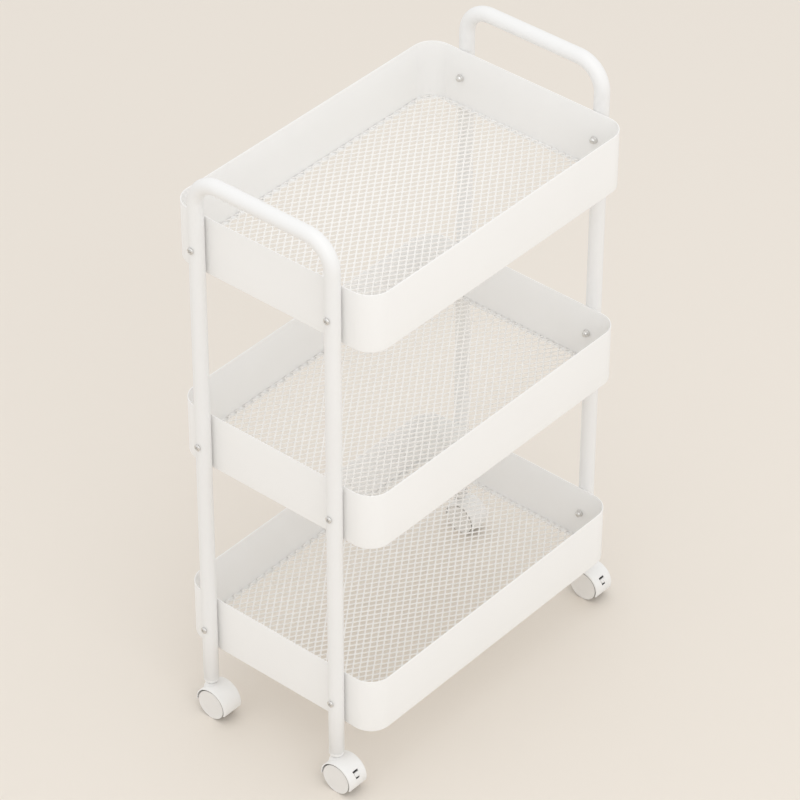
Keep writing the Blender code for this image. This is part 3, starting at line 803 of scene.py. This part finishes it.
def pedal_mesh():
    """The brake pedal: a ribbed tab in the hood's window, on two arms that turn on the pin."""
    turn = -WINDOW_ANGLE
    tab_centre = (0, *about_axle(TAB_RADIUS, WINDOW_ANGLE))
    pedal = box("pedal", TAB_SIZE, tab_centre, turn, TAB_TAPER)
    rib_radius = TAB_RADIUS + TAB_SIZE[1] / 2
    for step in (-1, 0, 1):
        angle = WINDOW_ANGLE + step * RIB_GAP / rib_radius
        rib = box("rib", RIB_SIZE, (0, *about_axle(rib_radius, angle)), turn)
        combined(pedal, rib, "UNION")
    pivot = Vector(about_axle(PIVOT_RADIUS, PIVOT_ANGLE))
    tab = Vector(about_axle(TAB_RADIUS - 0.3 * MM, WINDOW_ANGLE))
    reach = tab - pivot
    for side_x in (-1, 1):
        arm_size = (ARM_THICKNESS, reach.length, ARM_HEIGHT)
        middle = (side_x * ARM_MIDDLE, *((tab + pivot) / 2))
        combined(pedal, box("arm", arm_size, middle, math.atan2(reach.y, reach.x)), "UNION")
        low, high = sorted((side_x * ARM_INNER_FACE, side_x * ARM_OUTER_FACE))
        combined(pedal, rod("X", low, high, ARM_EYE_RADIUS, pivot), "UNION")
    combined(pedal, rod("X", -9 * MM, 9 * MM, PIN_BORE_RADIUS, pivot))
    return edges_rounded(cleaned(pedal), PEDAL_EDGE)


def wheel_mesh(side_x):
    """One wheel: a flat tread, a disc face inside a raised ring, a hub and a recessed inner face."""
    outer = WHEEL_OUTER_FACE
    inner = 4.3 * MM
    disc = outer - 0.4 * MM
    recess = inner + 2.4 * MM
    bore_end = 12.2 * MM
    hub_face = 2.7 * MM
    corners = (
        (bore_end, 0, 0),
        (bore_end, AXLE_BORE_RADIUS, 0),
        (hub_face, AXLE_BORE_RADIUS, 0.2 * MM),
        (hub_face, 4.0 * MM, 0.4 * MM),
        (recess, 4.4 * MM, 0.6 * MM),
        (recess, 15.4 * MM, 0.8 * MM),
        (inner, 16.2 * MM, 0.5 * MM),
        (inner, WHEEL_RADIUS, 0.9 * MM),
        (outer, WHEEL_RADIUS, 0.7 * MM),
        (outer, WHEEL_RADIUS - 1.9 * MM, 0.25 * MM),
        (disc, WHEEL_RADIUS - 2.3 * MM, 0.25 * MM),
        (disc, 0, 0),
    )
    mirrored = [(side_x * along, radius, fillet) for along, radius, fillet in corners]
    return on_axle(turned("wheel", filleted(mirrored), 96, angle=50))


def darkened(piece, place, material, chosen):
    """Gives the material to the faces chosen by their distance in X, radius and angle about the axle."""
    piece.data.materials.append(material)
    for face in piece.data.polygons:
        x, y, z = face.center - Vector(place)
        across, up = -TRAIL - y, z - AXLE_Z
        picked = chosen(abs(x), math.hypot(across, up), math.atan2(up, across))
        face.material_index = int(picked)


def is_tread(_along, radius, _angle):
    return radius > WHEEL_RADIUS - 0.3 * MM


# Painted shade: picks the web's faces inside the brake window, which are made near black for the shade
# down there.
def is_window_shade(along, radius, angle):
    in_web = along < WEB_HALF_WIDTH + 0.1 * MM
    return in_web and radius < HOOD_BORE_RADIUS and abs(angle - WINDOW_ANGLE) < math.radians(26)


# Painted shade: picks the pedal's arms and the tab's under side, down in the window.
def is_shade_behind_tab(_along, radius, _angle):
    return radius < TAB_RADIUS - TAB_SIZE[1] / 2 + 0.2 * MM


PLUG_FOOT = 44.1 * MM
PLUG_CONE_TOP = 48.6 * MM
PLUG_BORE_END = 69.4 * MM
PLUG_TOP = 73 * MM
PLUG_BORE_RADIUS = 4.3 * MM
PLUG_FOOT_RADIUS = 0.68 * TUBE_RADIUS
PLUG_SHOULDER_RADIUS = 0.985 * TUBE_RADIUS


def plug_mesh():
    """The plug in the leg's end: a conical foot, a short shoulder and a plain shank up the tube."""
    shoulder = LEG_END - 0.1 * MM
    in_tube = TUBE_RADIUS - TUBE_WALL - 0.7 * MM
    corners = (
        (PLUG_BORE_END, 0, 0),
        (PLUG_BORE_END, PLUG_BORE_RADIUS, 0),
        (PLUG_FOOT, PLUG_BORE_RADIUS, 0.2 * MM),
        (PLUG_FOOT, PLUG_FOOT_RADIUS, 0.3 * MM),
        (PLUG_CONE_TOP, PLUG_SHOULDER_RADIUS, 1.0 * MM),
        (shoulder, PLUG_SHOULDER_RADIUS, 0.1 * MM),
        (shoulder, in_tube, 0.3 * MM),
        (PLUG_TOP, in_tube, 0.8 * MM),
        (PLUG_TOP, 0, 0),
    )
    return turned("plug", filleted(corners), 48, "Z")


def add_castors():
    hoods = {braked: hood_mesh(braked) for braked in (False, True)}
    wheels = {side: wheel_mesh(side) for side in (-1, 1)}
    pedal = pedal_mesh()
    plug = plug_mesh()
    for corner, (side_x, side_y) in CORNERS.items():
        place = (side_x * LEG_X, side_y * LEG_Y, 0)
        node = f"castor_{corner}"
        braked = side_y < 0
        piece = placed(f"hood_{corner}", hoods[braked].data, place)
        finished(piece, f"{node}_hood", node, plastic)
        if braked:
            # The web inside the brake window takes the near black painted shade.
            darkened(piece, place, window_painted_shade, is_window_shade)
        piece = placed(f"leg_plug_{corner}", plug.data, place)
        finished(piece, f"{node}_plug", "cart", plastic)
        for which, side in (("outer", side_x), ("inner", -side_x)):
            body = f"wheel_{corner}_{which}"
            piece = placed(body, wheels[side].data, place)
            finished(piece, f"{node}_wheel_{which}", body, wheel_plastic)
            darkened(piece, place, tread_plastic, is_tread)
        finish_cad_node(f"{node}_stem", steel)
        finish_cad_node(f"{node}_axle", steel)
        if braked:
            piece = placed(f"pedal_{corner}", pedal.data, place)
            finished(piece, f"{node}_brake_pedal", f"brake_{corner}", plastic)
            # The pedal's arms and the tab's under side take the near black painted shade.
            darkened(piece, place, window_painted_shade, is_shade_behind_tab)
            finish_cad_node(f"{node}_brake_pin", steel)
    for made in (*hoods.values(), *wheels.values(), pedal, plug):
        bpy.data.objects.remove(made, do_unlink=True)


# ---------------------------------------------------------------- camera, light and floor

CAMERA_AZIMUTH = math.radians(-49.53)
CAMERA_ELEVATION = math.radians(37.505)
CAMERA_DISTANCE = 4.72
CAMERA_ROLL = math.radians(0.193)
CAMERA_LENS = 179.54
# The camera aims a little away from the box's centre.
AIM_OFFSET = Vector((-2.3 * MM, 0.7 * MM, -8.2 * MM))

WORLD_STRENGTH = 0.945
FLOOR_HALF_WIDTH = 6
FLOOR_COLOR = (0.80, 0.74, 0.665)


def add_camera():
    centre = (cad_box[0] + cad_box[1]) / 2 + AIM_OFFSET
    flat = math.cos(CAMERA_ELEVATION)
    back_x = math.sin(CAMERA_AZIMUTH) * flat
    back_y = -math.cos(CAMERA_AZIMUTH) * flat
    back = Vector((back_x, back_y, math.sin(CAMERA_ELEVATION)))
    data = bpy.data.cameras.new("camera")
    data.lens = CAMERA_LENS
    data.sensor_width = 36
    data.clip_end = 100
    camera = linked(bpy.data.objects.new("camera", data))
    aim = (-back).to_track_quat("-Z", "Y")
    camera.rotation_mode = "QUATERNION"
    camera.rotation_quaternion = aim @ Matrix.Rotation(CAMERA_ROLL, 4, "Z").to_quaternion()
    camera.location = centre + back * CAMERA_DISTANCE
    bpy.context.scene.camera = camera


def add_softbox(name, location, aim, size, power, color=(1, 1, 1)):
    data = bpy.data.lights.new(name, "AREA")
    data.shape = "RECTANGLE"
    data.size, data.size_y = size
    data.energy = power
    data.color = color
    light = linked(bpy.data.objects.new(name, data))
    light.location = location
    towards = Vector(aim) - Vector(location)
    light.rotation_euler = towards.to_track_quat("-Z", "Y").to_euler()


def add_studio():
    world = bpy.data.worlds.new("studio")
    bpy.context.scene.world = world
    world.use_nodes = True
    background = world.node_tree.nodes["Background"]
    background.inputs["Color"].default_value = (1.0, 1.0, 1.0, 1)
    background.inputs["Strength"].default_value = WORLD_STRENGTH
    add_softbox("key", (-1.5, -2.6, 2.6), (0, 0, 0.4), (2.4, 2.0), 16, (0.95, 0.975, 1.0))
    add_softbox("overhead", (-0.6, -0.6, 3.2), (0, 0, 0.3), (2.0, 2.0), 8)
    work = bmesh.new()
    bmesh.ops.create_grid(work, x_segments=1, y_segments=1, size=FLOOR_HALF_WIDTH)
    floor = new_object("floor", work)
    floor.data.materials.append(material_nodes("pale_floor", FLOOR_COLOR, 0.7)[0])
    bpy.context.scene.view_settings.view_transform = "Standard"


# ---------------------------------------------------------------- the scene

add_frames()
add_trays()
add_fixings()
add_castors()
add_camera()
add_studio()
